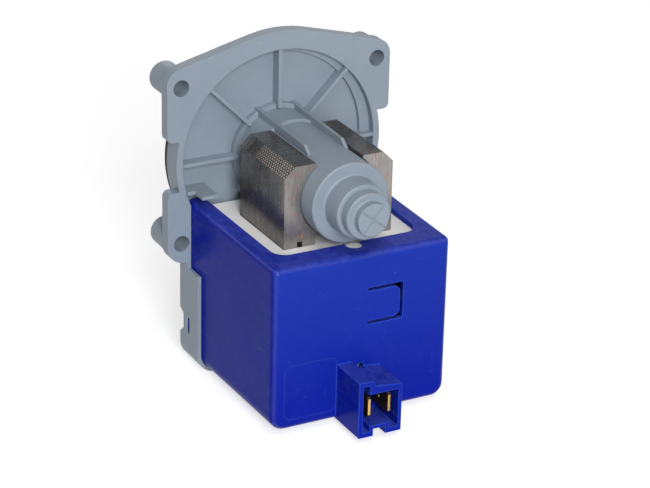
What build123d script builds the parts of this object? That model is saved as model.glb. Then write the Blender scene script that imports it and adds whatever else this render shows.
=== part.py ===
"""Synchronous drain pump: a grey pump cover that carries the rotor, and a blue cover round its coils.

Millimetres. The rotor turns about the Y axis. The motor end points along -Y and the impeller
along +Y. The flange's motor-side face lies at Y = 0, X runs across and Z is up.
"""
import os
from math import acos, atan, atan2, cos, degrees, hypot, radians, sin, sqrt

from build123d import *

os.makedirs("parts", exist_ok=True)

# Clearances
running_gap = 0.04          # shaft in its bushes, radial
core_to_can_gap = 0.3       # pole face to rotor can
rotor_to_can_gap = 0.6      # magnet to the can's bore
bobbin_to_leg_gap = 0.15    # bobbin tube round its leg
bobbin_to_cover_gap = 1.2   # bobbin flanges inside the blue cover
cover_to_tray_gap = 0.1     # blue cover inside the grey tray
latch_gap = 0.2             # latch nub inside its window
thrust_gap = 0.1            # end float at each thrust washer
impeller_gap = 1.0          # impeller above the bush carrier's nose
dog_gap = 0.3               # clutch parts past each other
slot_gap = 0.15             # terminal in the socket's floor
fit_gap = 0.05              # bush carrier in the can, radial
shaft_end_gap = 0.4         # shaft's end in the impeller's cap

# Screw pattern and flange
hole_spacing_x = 63.4
hole_spacing_z = 48.2
hole_r = 2.5
boss_r = 4.6
boss_end = 12.0
flange_thickness = 4.0
crown_r = 37.0
ear_r = 5.0
ear_centre_x = 31.1
ear_centre_z = 25.1
side_notch = 7.8
notch_corner_r = 1.8

# Round body of the pump cover
body_wall = 1.95
dish_r = 31.3
dish_depth = 4.2
skirt_depth = 6.9
floor_thickness = 1.8
spigot_r = 30.4
spigot_wall = 1.4
spigot_end = 10.9
volute_r = 28.7
volute_centre = (-0.7, 1.2)
volute_ledge = 1.5
rib_count = 8
rib_thickness = 1.1
rib_face = 0.3
hub_r = 14.1
hub_face = 1.9

# Rotor can
can_r = 12.0
can_wall = 1.1
can_end = -43.8
can_end_wall = 1.5
can_base_r = 12.8
core_rear = -8.6
rail_x = 5.9
rail_top_rear = 13.4
rail_top_front = 12.5
rail_thickness = 1.0
rail_end = -27.0
rail_run_out = 2.9

# Stepped nose of the can: bush housing, collar and end cap
bush_housing_r = 8.3
bush_housing_taper = 0.3
bush_housing_end = -50.9
collar_r = 6.9
collar_end = -54.5
end_cap_r = 4.8
end_cap_end = -57.1
cross_width = 0.45
cross_depth = 0.3
cross_turn = 52.0
shaft_pocket_r = 3.0
shaft_pocket_end = -52.9
edge_r = 0.35

# Shelf beside the coils
shelf_top = -7.5
shelf_thickness = 1.1
shelf_right = -23.1
shelf_step = -28.0
shelf_left = -30.4
shelf_step_y = -1.3
shelf_front = -6.4

# Tray under and behind the coil cover
tray_wall = 1.1
tray_front = -7.0
tray_rear = 5.4
tray_top = -32.3
tray_hollow = 0.3           # rise of the underside between its corners
recess_depth = 3.2
recess_top = -11.5
tray_plate_top = -12.0
window_front = -1.2
window_rear = 0.8
window_top = -48.1
window_bottom = -53.2
tray_notch_depth = 2.7
tray_notch_slope = 1.4

# Stator core
core_half_width = 17.15
core_stack = 28.2
core_top = 10.65
core_chamfer = 3.2
leg_inner_x = 7.4
yoke_height = 9.7
yoke_bottom = -58.4
core_notch_x = -12.2
core_notch_width = 1.6
core_notch_height = 1.6
core_notch_depth = 1.2

# Bobbins and windings
bobbin_top = -13.9
bobbin_flange = 1.4
bobbin_wall = 1.1
bobbin_parting = 0.1
bobbin_front = -45.4
bobbin_rear = 1.5
bobbin_corner_r = 3.0
winding_thickness = 5.0
bobbin_tab_r = 2.3
bobbin_tab_x = 0.7
bobbin_tab_y = -45.1
bobbin_tab_rise = 1.3

# Coil cover
cover_half_width = 28.6
cover_top = -11.7
cover_bottom = -62.8
cover_rear = 3.0
cover_front = -52.7
cover_wall = 1.6
cover_draft = 0.6
cover_bottom_r = 4.8
cover_front_r = 2.4
cover_rim_r = 1.8
opening_front = -43.7
opening_rear_half_width = 23.5
opening_front_half_width = 22.7
opening_r = 4.5
tongue_left = 1.4
tongue_slot_right = 12.8
tongue_slot_top = -22.7
tongue_slot_bottom = -34.0
tongue_slot_width = 1.0
tongue_corner_r = 1.9
latch_height = 0.9

# Connector socket on the coil cover
socket_left = -7.85
socket_right = 5.85
socket_front = -66.0
socket_bottom = -62.0
socket_top_left = -44.7
socket_top_right = -46.85
socket_wall = 1.4
socket_roof = 2.0
socket_step_x = -3.3
socket_step_run = 0.7
socket_roof_fall = 0.9
socket_corner_right = -4.35
key_left = -3.1
key_right = 0.85
key_top = -59.8
key_wall = 1.0
vent_x = -0.4
vent_width = 1.9
vent_low = -47.4
vent_high = -45.8
vent_front = -54.2

# Terminals
tab_width = 6.3
tab_thickness = 0.8
tab_tip = -63.6
tab_tail = -41.0
tab_centre_z = -54.1
tab_pitch = 6.4
tab_chamfer = 0.7
tab_hole_r = 0.9
tab_hole_back = 5.0
holder_front = -50.2
holder_rear = -39.0
holder_half_width = 2.4
holder_bottom = -58.4

# Shaft, bushes and their rubber seats
shaft_r = 2.0
shaft_rear = -51.5
shaft_front = 27.6
bush_r = 4.1
bush_length = 7.3
seat_r = 6.6
seat_length = 7.7
washer_r = 5.2
washer_thickness = 0.8

# Rotor
magnet_length = 30.0
magnet_bore_r = 5.0
rotor_plate_r = 8.6
rotor_plate = 1.2
rotor_boss_r = 4.6

# Bush carrier in the can's mouth
carrier_inner = -4.0
carrier_flange_r = 13.4
carrier_flange = 1.4
carrier_shaft_hole_r = 2.6
carrier_nose_r = 8.2
carrier_nose_end = 11.6
carrier_nose_wall = 1.2
o_ring_y = 1.6
o_ring_groove_width = 2.2
o_ring_groove_depth = 1.5

# Gasket
gasket_width = 2.4
gasket_end = 10.0
gasket_lip = 0.6

# Impeller and its clutch
impeller_hub_r = 8.2
impeller_hub_wall = 1.7
impeller_floor = 2.0
impeller_length = 15.5
impeller_plate_r = 14.5
impeller_plate = 1.4
vane_count = 4
vane_tip_r = 19.8
vane_thickness = 1.8
vane_length = 12.5
vane_tip_slope = 4.0
vane_fillet = 1.2
cap_thickness = 2.2
cap_socket_depth = 1.4
cap_pilot = 1.6
cap_r = 7.4
stop_angle = -90.0
stop_half_angle = 22.0
pad_angle = 12.0
pad_bridge = 0.45
dog_hub_r = 2.9
dog_half_angle = 20.0
clutch_length = 9.6
dog_start_gap = 0.6

# Worked out from the values above
body_r = dish_r + body_wall
can_bore_r = can_r - can_wall
magnet_r = can_bore_r - rotor_to_can_gap
pole_r = can_r + core_to_can_gap
core_front = core_rear - core_stack
chamber_floor = dish_depth + floor_thickness
tray_inner_x = cover_half_width + cover_to_tray_gap
tray_inner_bottom = cover_bottom - cover_to_tray_gap
tray_outer_x = tray_inner_x + tray_wall
tray_bottom = tray_inner_bottom - tray_wall
tray_inner_r = cover_bottom_r + cover_to_tray_gap
tray_outer_r = tray_inner_r + tray_wall
yoke_top = yoke_bottom + yoke_height
bobbin_half_width = cover_half_width - cover_wall - cover_draft - bobbin_to_cover_gap
cover_taper = degrees(atan(cover_draft / (cover_rear - cover_front)))
core_centre_y = (core_rear + core_front) / 2
magnet_front = core_centre_y + magnet_length / 2
magnet_rear = core_centre_y - magnet_length / 2
front_seat = carrier_nose_end - carrier_nose_wall - seat_length
impeller_base = carrier_nose_end + impeller_gap
impeller_cavity_r = impeller_hub_r - impeller_hub_wall
impeller_cavity_floor = impeller_base + impeller_floor
impeller_nose = impeller_base + impeller_length
stop_inner_r = dog_hub_r + dog_gap + pad_bridge
full_turn = 360.0
hole_points = [
    (side * hole_spacing_x / 2, level * hole_spacing_z / 2) for side in (-1, 1) for level in (-1, 1)
]


def half_section(inner, outer, start, end, mode=Mode.ADD):
    """A rectangle beside the rotor axis, from radius inner to outer and from start to end along Y."""
    with Locations((inner, start)):
        Rectangle(outer - inner, end - start, align=(Align.MIN, Align.MIN), mode=mode)


def sector(inner, outer, middle, half_angle):
    """A piece of a ring about the rotor axis, its middle at the angle given in degrees."""
    low = radians(middle - half_angle)
    high = radians(middle + half_angle)
    centre = radians(middle)
    with BuildSketch() as piece:
        with BuildLine():
            Line((inner * cos(low), inner * sin(low)), (outer * cos(low), outer * sin(low)))
            ThreePointArc(
                (outer * cos(low), outer * sin(low)),
                (outer * cos(centre), outer * sin(centre)),
                (outer * cos(high), outer * sin(high)),
            )
            Line((outer * cos(high), outer * sin(high)), (inner * cos(high), inner * sin(high)))
            ThreePointArc(
                (inner * cos(high), inner * sin(high)),
                (inner * cos(centre), inner * sin(centre)),
                (inner * cos(low), inner * sin(low)),
            )
        make_face()
    return piece.sketch


def tray_section(top):
    """The tray's outline up to the height given, with round lower corners and a slightly hollow underside."""
    with BuildSketch() as section:
        with BuildLine():
            Polyline(
                (-tray_outer_x, tray_bottom),
                (-tray_outer_x, top),
                (tray_outer_x, top),
                (tray_outer_x, tray_bottom),
            )
            ThreePointArc(
                (tray_outer_x, tray_bottom),
                (0, tray_bottom + tray_hollow),
                (-tray_outer_x, tray_bottom),
            )
        make_face()
        fillet(vertices().group_by(Axis.Y)[0], tray_outer_r)
    return section.sketch


# Pump cover: flange, dish with ribs, rotor can and tray in one moulding
ear_distance = hypot(ear_centre_x, ear_centre_z)
slope_angle = degrees(atan2(ear_centre_z, ear_centre_x) + acos((crown_r - ear_r) / ear_distance))
slope_end = (
    ear_centre_x + ear_r * cos(radians(slope_angle)),
    ear_centre_z + ear_r * sin(radians(slope_angle)),
)
ear_half_width = ear_centre_x + ear_r

with BuildPart() as pump_cover:
    # Flange with four ears and a crown at top and bottom
    with BuildSketch(Plane.XZ):
        with BuildLine():
            crown = CenterArc((0, 0), crown_r, 90, slope_angle - 90)
            slope = Line(crown @ 1, slope_end)
            ear = CenterArc((ear_centre_x, ear_centre_z), ear_r, slope_angle, -slope_angle)
            Line(ear @ 1, (ear_half_width, 0))
            mirror(about=Plane.XZ)
            mirror(about=Plane.YZ)
        make_face()
        Rectangle(2 * ear_half_width, 2 * side_notch, mode=Mode.SUBTRACT)
        fillet(vertices().filter_by(lambda v: abs(abs(v.Y) - side_notch) < edge_r), notch_corner_r)
        Circle(body_r)
    extrude(amount=-flange_thickness)

    # Round skirt and the spigot that enters the filter housing
    with BuildSketch(Plane.XZ):
        Circle(body_r)
    extrude(amount=-skirt_depth)
    with BuildSketch(Plane.XZ):
        Circle(spigot_r)
    extrude(amount=-spigot_end)
    with BuildSketch(Plane.XZ.offset(-spigot_end)):
        Circle(spigot_r - spigot_wall)
    extrude(amount=spigot_end - chamber_floor, mode=Mode.SUBTRACT)

    # Dish on the motor side, with the back of the volute as a crescent step
    with BuildSketch(Plane.XZ):
        Circle(dish_r)
    extrude(amount=-dish_depth, mode=Mode.SUBTRACT)
    with BuildSketch(Plane.XZ.offset(-dish_depth)):
        Circle(dish_r)
        with Locations(volute_centre):
            Circle(volute_r, mode=Mode.SUBTRACT)
        Rectangle(body_r, body_r, align=(Align.MIN, Align.MIN), mode=Mode.INTERSECT)
    extrude(amount=volute_ledge)
    with BuildSketch(Plane.XZ.offset(-dish_depth)):
        rib_length = dish_r - hub_r + body_wall
        with PolarLocations(hub_r - body_wall / 2 + rib_length / 2, rib_count):
            Rectangle(rib_length, rib_thickness)
    extrude(amount=dish_depth - rib_face)
    with BuildSketch(Plane.XZ.offset(-dish_depth)):
        Circle(hub_r)
    extrude(amount=dish_depth - hub_face)

    # Screw bosses
    with BuildSketch(Plane.XZ.offset(-flange_thickness)):
        with Locations(*hole_points):
            Circle(boss_r)
    extrude(amount=-(boss_end - flange_thickness))

    # Rotor can with its stepped nose
    with BuildSketch(Plane.XY):
        half_section(0, can_base_r, core_rear, dish_depth)
        half_section(0, can_r, can_end, dish_depth)
        with BuildLine():
            Polyline(
                (0, can_end),
                (bush_housing_r, can_end),
                (bush_housing_r - bush_housing_taper, bush_housing_end),
                (0, bush_housing_end),
                close=True,
            )
        make_face()
        half_section(0, collar_r, collar_end, bush_housing_end)
        half_section(0, end_cap_r, end_cap_end, collar_end)
        outer_corners = vertices().filter_by(
            lambda v: v.X > shaft_pocket_r and v.Y in (can_end, bush_housing_end, collar_end, end_cap_end)
        )
        chamfer(outer_corners, edge_r)
    revolve(axis=Axis.Y)
    with BuildSketch(Plane.XZ.offset(-end_cap_end)):
        with Locations(Rotation(0, 0, cross_turn)):
            Rectangle(2 * (end_cap_r - edge_r), cross_width)
            Rectangle(cross_width, 2 * (end_cap_r - edge_r))
    extrude(amount=-cross_depth, mode=Mode.SUBTRACT)

    # Two rails on top of the can
    for side in (-1, 1):
        with BuildSketch(Plane.YZ.offset(side * rail_x)):
            with BuildLine():
                Polyline(
                    (dish_depth, sqrt(can_bore_r**2 - rail_x**2)),
                    (dish_depth, rail_top_rear),
                    (rail_end, rail_top_front),
                    (rail_end - rail_run_out, sqrt(can_r**2 - rail_x**2)),
                    (rail_end - rail_run_out, sqrt(can_bore_r**2 - rail_x**2)),
                    close=True,
                )
            make_face()
        extrude(amount=rail_thickness / 2, both=True)

    # Bore of the can, the rear bush seat and the pocket for the shaft's end
    with BuildSketch(Plane.XY):
        half_section(0, can_bore_r, can_end + can_end_wall, chamber_floor)
        half_section(0, seat_r, can_end + can_end_wall - seat_length, can_end + can_end_wall)
        half_section(0, shaft_pocket_r, shaft_pocket_end, can_end)
    revolve(axis=Axis.Y, mode=Mode.SUBTRACT)

    # Shelf beside the coils
    with BuildSketch(Plane.XY.offset(shelf_top)):
        with BuildLine():
            Polyline(
                (shelf_left, chamber_floor - floor_thickness / 2),
                (shelf_right, chamber_floor - floor_thickness / 2),
                (shelf_right, shelf_front),
                (shelf_step, shelf_front),
                (shelf_step, shelf_step_y),
                (shelf_left, shelf_step_y),
                close=True,
            )
        make_face()
    extrude(amount=-shelf_thickness)

    # Tray round the lower rear of the coil cover, sunk a little into the flange
    with BuildSketch(Plane.XZ.offset(-tray_front)):
        add(tray_section(tray_top))
    extrude(amount=tray_front)
    with BuildSketch(Plane.XZ):
        add(tray_section(tray_plate_top))
        Circle(dish_r, mode=Mode.SUBTRACT)
    extrude(amount=-tray_rear)
    with BuildSketch(Plane.XZ.offset(-tray_front)):
        with Locations((0, recess_top)):
            Rectangle(2 * tray_inner_x, recess_top - tray_inner_bottom, align=(Align.CENTER, Align.MAX))
        fillet(vertices().group_by(Axis.Y)[0], tray_inner_r)
    extrude(amount=tray_front - recess_depth, mode=Mode.SUBTRACT)
    for side in (-1, 1):
        with BuildSketch(Plane.YZ.offset(side * tray_inner_x)):
            with Locations((window_front, window_bottom)):
                Rectangle(
                    window_rear - window_front,
                    window_top - window_bottom,
                    align=(Align.MIN, Align.MIN),
                )
            with BuildLine():
                Polyline(
                    (tray_rear, window_top + tray_notch_slope),
                    (tray_rear - tray_notch_depth, window_top),
                    (tray_rear - tray_notch_depth, window_bottom + tray_notch_slope / 2),
                    (tray_rear, window_bottom - tray_notch_slope),
                    close=True,
                )
            make_face()
        extrude(amount=side * tray_wall, mode=Mode.SUBTRACT)

    # Screw holes through the ears and their bosses
    with BuildSketch(Plane.XZ):
        with Locations(*hole_points):
            Circle(hole_r)
    extrude(amount=-boss_end, mode=Mode.SUBTRACT)

pump_cover.part.label = "pump_cover"
export_step(pump_cover.part, "parts/pump_cover.step")


# Gasket on the spigot
with BuildPart() as flange_gasket:
    with BuildSketch(Plane.XY):
        half_section(spigot_r, spigot_r + gasket_width, skirt_depth, gasket_end)
        chamfer(vertices().group_by(Axis.Y)[-1].sort_by(Axis.X)[-1:], gasket_lip)
    revolve(axis=Axis.Y)

flange_gasket.part.label = "flange_gasket"
export_step(flange_gasket.part, "parts/flange_gasket.step")


# Bush carrier that closes the can's mouth
carrier_r = can_bore_r - fit_gap
carrier_outer = chamber_floor + carrier_flange

with BuildPart() as bush_carrier:
    with BuildSketch(Plane.XY):
        half_section(0, carrier_r, carrier_inner, carrier_outer)
        half_section(0, carrier_flange_r, chamber_floor, carrier_outer)
        half_section(0, carrier_nose_r, carrier_outer, carrier_nose_end)
        half_section(0, seat_r, carrier_inner, front_seat + seat_length, mode=Mode.SUBTRACT)
        half_section(0, carrier_shaft_hole_r, front_seat, carrier_nose_end, mode=Mode.SUBTRACT)
        half_section(
            carrier_r - o_ring_groove_depth,
            carrier_r,
            o_ring_y - o_ring_groove_width / 2,
            o_ring_y + o_ring_groove_width / 2,
            mode=Mode.SUBTRACT,
        )
    revolve(axis=Axis.Y)

bush_carrier.part.label = "bush_carrier"
export_step(bush_carrier.part, "parts/bush_carrier.step")


# O-ring between the carrier and the can
o_ring_inner = carrier_r - o_ring_groove_depth
o_ring_half_width = (can_bore_r - o_ring_inner) / 2

with BuildPart() as carrier_o_ring:
    with BuildSketch(Plane.XY):
        with Locations((o_ring_inner + o_ring_half_width, o_ring_y)):
            Rectangle(2 * o_ring_half_width, 2 * o_ring_half_width)
    revolve(axis=Axis.Y)

carrier_o_ring.part.label = "carrier_o_ring"
export_step(carrier_o_ring.part, "parts/carrier_o_ring.step")


# Front bush and its rubber seat, in the carrier's nose
with BuildPart() as front_bush:
    with BuildSketch(Plane.XY):
        half_section(shaft_r + running_gap, bush_r, front_seat, front_seat + bush_length)
    revolve(axis=Axis.Y)

front_bush.part.label = "front_bush"
export_step(front_bush.part, "parts/front_bush.step")

with BuildPart() as front_bush_damper:
    with BuildSketch(Plane.XY):
        half_section(bush_r, seat_r, front_seat, front_seat + seat_length)
    revolve(axis=Axis.Y)

front_bush_damper.part.label = "front_bush_damper"
export_step(front_bush_damper.part, "parts/front_bush_damper.step")


# Rear bush and its rubber seat, in the can's nose
rear_seat_mouth = can_end + can_end_wall

with BuildPart() as rear_bush:
    with BuildSketch(Plane.XY):
        half_section(shaft_r + running_gap, bush_r, rear_seat_mouth - bush_length, rear_seat_mouth)
    revolve(axis=Axis.Y)

rear_bush.part.label = "rear_bush"
export_step(rear_bush.part, "parts/rear_bush.step")

with BuildPart() as rear_bush_damper:
    with BuildSketch(Plane.XY):
        half_section(bush_r, seat_r, rear_seat_mouth - seat_length, rear_seat_mouth)
    revolve(axis=Axis.Y)

rear_bush_damper.part.label = "rear_bush_damper"
export_step(rear_bush_damper.part, "parts/rear_bush_damper.step")


# Thrust washers at the two ends of the rotor
with BuildPart() as rear_thrust_washer:
    with BuildSketch(Plane.XY):
        half_section(shaft_r + running_gap, washer_r, rear_seat_mouth, rear_seat_mouth + washer_thickness)
    revolve(axis=Axis.Y)

rear_thrust_washer.part.label = "rear_thrust_washer"
export_step(rear_thrust_washer.part, "parts/rear_thrust_washer.step")

with BuildPart() as front_thrust_washer:
    with BuildSketch(Plane.XY):
        half_section(shaft_r + running_gap, washer_r, front_seat - washer_thickness, front_seat)
    revolve(axis=Axis.Y)

front_thrust_washer.part.label = "front_thrust_washer"
export_step(front_thrust_washer.part, "parts/front_thrust_washer.step")


# Rotor: steel shaft, moulded hub and ring magnet
with BuildPart() as rotor_shaft:
    with BuildSketch(Plane.XY):
        half_section(0, shaft_r, shaft_rear, shaft_front)
        chamfer(vertices().filter_by(lambda v: v.X > 0), edge_r)
    revolve(axis=Axis.Y)

rotor_shaft.part.label = "rotor_shaft"
export_step(rotor_shaft.part, "parts/rotor_shaft.step")

with BuildPart() as rotor_hub:
    with BuildSketch(Plane.XY):
        half_section(shaft_r, magnet_bore_r, magnet_rear, magnet_front)
        half_section(shaft_r, rotor_plate_r, magnet_rear - rotor_plate, magnet_rear)
        half_section(shaft_r, rotor_plate_r, magnet_front, magnet_front + rotor_plate)
        half_section(shaft_r, rotor_boss_r, rear_seat_mouth + washer_thickness + thrust_gap, magnet_rear)
        half_section(shaft_r, rotor_boss_r, magnet_front, front_seat - washer_thickness - thrust_gap)
    revolve(axis=Axis.Y)

rotor_hub.part.label = "rotor_hub"
export_step(rotor_hub.part, "parts/rotor_hub.step")

with BuildPart() as rotor_magnet:
    with BuildSketch(Plane.XY):
        half_section(magnet_bore_r, magnet_r, magnet_rear, magnet_front)
        chamfer(vertices().filter_by(lambda v: v.X > rotor_plate_r), edge_r)
    revolve(axis=Axis.Y)

rotor_magnet.part.label = "rotor_magnet"
export_step(rotor_magnet.part, "parts/rotor_magnet.step")


# Stator core: a U of laminations with pole faces round the can
with BuildPart() as stator_core:
    with BuildSketch(Plane.XZ.offset(-core_rear)):
        with Locations((0, yoke_bottom)):
            Rectangle(2 * core_half_width, core_top - yoke_bottom, align=(Align.CENTER, Align.MIN))
        chamfer(vertices().group_by(Axis.Y)[-1], core_chamfer)
        with Locations((0, yoke_top)):
            Rectangle(
                2 * leg_inner_x,
                core_top - yoke_top,
                align=(Align.CENTER, Align.MIN),
                mode=Mode.SUBTRACT,
            )
        Circle(pole_r, mode=Mode.SUBTRACT)
    extrude(amount=core_stack)
    with BuildSketch(Plane.XZ.offset(-core_front)):
        with Locations((core_notch_x, bobbin_top)):
            Rectangle(core_notch_width, core_notch_height, align=(Align.CENTER, Align.MIN))
    extrude(amount=-core_notch_depth, mode=Mode.SUBTRACT)

stator_core.part.label = "stator_core"
export_step(stator_core.part, "parts/stator_core.step")


# Bobbins and windings, one on each leg of the core
leg_middle = (leg_inner_x + core_half_width) / 2
leg_width = core_half_width - leg_inner_x
tube_inner_x = leg_width + 2 * bobbin_to_leg_gap
tube_inner_y = core_stack + 2 * bobbin_to_leg_gap
tube_outer_x = tube_inner_x + 2 * bobbin_wall
tube_outer_y = tube_inner_y + 2 * bobbin_wall
bobbin_bottom = yoke_top + bobbin_to_leg_gap
winding_top = bobbin_top - bobbin_flange
winding_bottom = bobbin_bottom + bobbin_flange


def bobbin(side):
    """The bobbin on the leg at the side given, -1 for left, with the holder of its terminal."""
    blade_x = side * tab_pitch / 2
    with BuildPart() as blank:
        for level in (bobbin_bottom, bobbin_top - bobbin_flange):
            with BuildSketch(Plane.XY.offset(level)):
                with Locations((side * bobbin_parting, bobbin_rear)):
                    Rectangle(
                        bobbin_half_width,
                        bobbin_rear - bobbin_front,
                        align=(Align.MIN if side > 0 else Align.MAX, Align.MAX),
                    )
                fillet(vertices().sort_by(Axis.X, reverse=side > 0)[:2], bobbin_corner_r)
            extrude(amount=bobbin_flange)
        with BuildSketch(Plane.XY.offset(bobbin_bottom)):
            with Locations((side * leg_middle, core_centre_y)):
                Rectangle(tube_outer_x, tube_outer_y)
        extrude(amount=bobbin_top - bobbin_bottom)
        with BuildSketch(Plane.XY.offset(bobbin_bottom)):
            with Locations((side * leg_middle, core_centre_y)):
                Rectangle(tube_inner_x, tube_inner_y)
        extrude(amount=bobbin_top - bobbin_bottom, mode=Mode.SUBTRACT)
        with BuildSketch(Plane.XY.offset(holder_bottom)):
            with Locations((blade_x, holder_front)):
                Rectangle(
                    2 * holder_half_width,
                    holder_rear - holder_front,
                    align=(Align.CENTER, Align.MIN),
                )
        extrude(amount=bobbin_bottom - holder_bottom)
        with BuildSketch(Plane.YZ.offset(blade_x)):
            with Locations((holder_front, tab_centre_z)):
                Rectangle(tab_tail - holder_front, tab_width, align=(Align.MIN, Align.CENTER))
        extrude(amount=tab_thickness / 2, both=True, mode=Mode.SUBTRACT)
    return blank.part


def winding(side):
    """The closed coil round the bobbin at the side given, -1 for left."""
    with BuildPart() as blank:
        with BuildSketch(Plane.XY.offset(winding_bottom)):
            with Locations((side * leg_middle, core_centre_y)):
                RectangleRounded(
                    tube_outer_x + 2 * winding_thickness,
                    tube_outer_y + 2 * winding_thickness,
                    winding_thickness,
                )
                Rectangle(tube_outer_x, tube_outer_y, mode=Mode.SUBTRACT)
        extrude(amount=winding_top - winding_bottom)
    return blank.part


with BuildPart() as bobbin_left:
    add(bobbin(-1))

bobbin_left.part.label = "bobbin_left"
export_step(bobbin_left.part, "parts/bobbin_left.step")

with BuildPart() as bobbin_right:
    add(bobbin(1))
    with BuildSketch(Plane.XY.offset(bobbin_top)):
        with Locations((bobbin_tab_x, bobbin_tab_y)):
            Circle(bobbin_tab_r)
    extrude(amount=bobbin_tab_rise)

bobbin_right.part.label = "bobbin_right"
export_step(bobbin_right.part, "parts/bobbin_right.step")

with BuildPart() as winding_left:
    add(winding(-1))

winding_left.part.label = "winding_left"
export_step(winding_left.part, "parts/winding_left.step")

with BuildPart() as winding_right:
    add(winding(1))

winding_right.part.label = "winding_right"
export_step(winding_right.part, "parts/winding_right.step")


# Terminals: two flat blades side by side
def terminal(side):
    """The blade at the side given, -1 for left, with a chamfered tip and a locking hole."""
    with BuildPart() as blank:
        with BuildSketch(Plane.YZ.offset(side * tab_pitch / 2)):
            with Locations((tab_tip, tab_centre_z)):
                Rectangle(tab_tail - tab_tip, tab_width, align=(Align.MIN, Align.CENTER))
            chamfer(vertices().sort_by(Axis.X)[:2], tab_chamfer)
            with Locations((tab_tip + tab_hole_back, tab_centre_z)):
                Circle(tab_hole_r, mode=Mode.SUBTRACT)
        extrude(amount=tab_thickness / 2, both=True)
    return blank.part


with BuildPart() as terminal_left:
    add(terminal(-1))

terminal_left.part.label = "terminal_left"
export_step(terminal_left.part, "parts/terminal_left.step")

with BuildPart() as terminal_right:
    add(terminal(1))

terminal_right.part.label = "terminal_right"
export_step(terminal_right.part, "parts/terminal_right.step")


# Coil cover: a drafted box open at the rear, with the connector socket on its front
def cover_outline(inset):
    """The outline of the cover's rear end, moved inwards by the inset given."""
    with BuildSketch(Plane.XZ.offset(-cover_rear)) as outline:
        with Locations((0, cover_top - inset)):
            Rectangle(
                2 * (cover_half_width - inset),
                cover_top - cover_bottom - 2 * inset,
                align=(Align.CENTER, Align.MAX),
            )
        fillet(vertices().group_by(Axis.Y)[0], cover_bottom_r - inset)
        fillet(vertices().group_by(Axis.Y)[-1], cover_rim_r)
    return outline.sketch


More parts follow.
